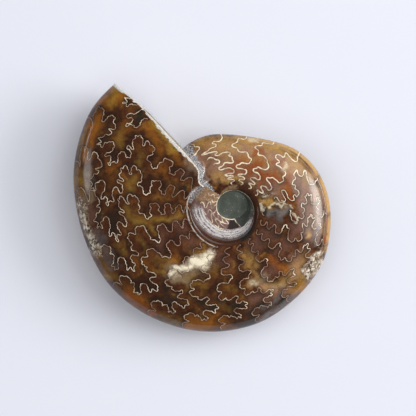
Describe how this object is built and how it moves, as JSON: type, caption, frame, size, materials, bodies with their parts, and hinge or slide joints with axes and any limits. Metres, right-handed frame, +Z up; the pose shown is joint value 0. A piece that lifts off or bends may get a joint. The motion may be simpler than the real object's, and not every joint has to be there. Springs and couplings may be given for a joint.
{
  "type": "ammonite fossil",
  "caption": "Polished ammonite fossil: a flat spiral shell in amber-brown calcite with fine leaf-like suture lines, a cut mouth and a stone-filled umbilicus.",
  "frame": {"origin": "bottom centre: under the middle of the fossil's box, on the surface that it lies on", "axes": "+Z up; the fossil lies on one flank with its coiling axis near +Z, the cut mouth's tip points to -X +Y, and the spiral opens anticlockwise towards +X seen from above"},
  "size_m": [0.0548, 0.0528, 0.0155],
  "materials": {
    "polished_calcite": "polished, translucent amber-brown calcite with cream suture lines"
  },
  "bodies": {
    "root": {"ammonite": "polished_calcite"}
  },
  "joints": []
}
